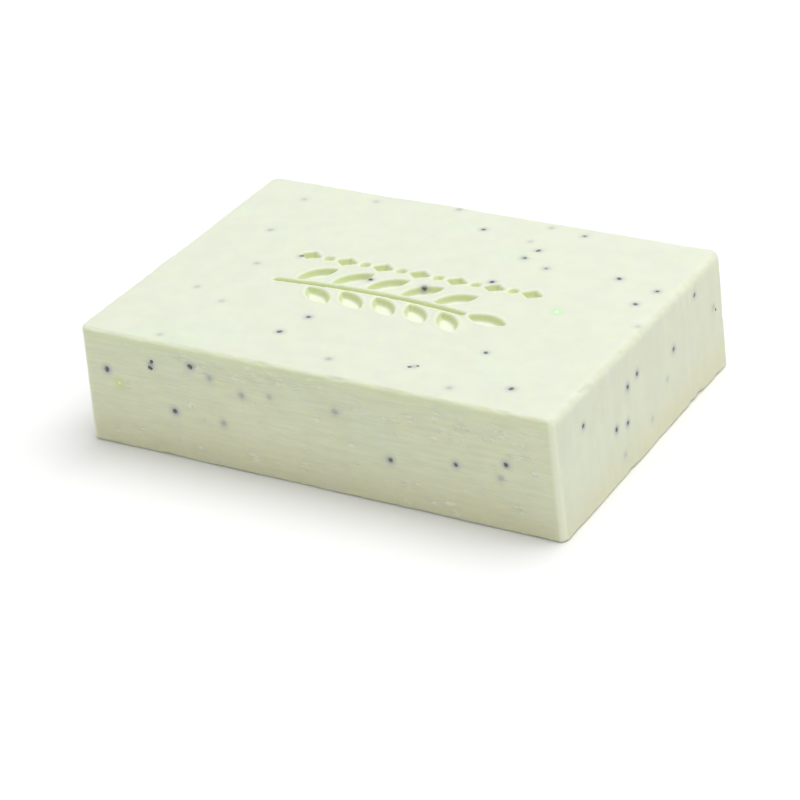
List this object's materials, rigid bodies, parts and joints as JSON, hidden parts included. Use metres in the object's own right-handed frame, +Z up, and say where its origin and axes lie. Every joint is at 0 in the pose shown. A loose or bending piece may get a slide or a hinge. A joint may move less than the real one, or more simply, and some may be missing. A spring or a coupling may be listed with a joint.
{
  "type": "bar of soap",
  "caption": "Rectangular hand-cut bar of soap with softly rounded edges, a shallow leafy sprig impressed on its top face and a flat face to rest on.",
  "frame": {"origin": "on the resting surface, under the middle of the bar", "axes": "+X along the bar's length, +Y across its width and away from its cut front face, +Z up through the impressed top face"},
  "size_m": [0.0917, 0.0668, 0.0217],
  "materials": {
    "soap": "pale yellow-green opaque soap, waxy and satin, with fine cut marks and small dark seeds through it"
  },
  "bodies": {
    "root": {"soap_bar": "soap"}
  },
  "joints": []
}
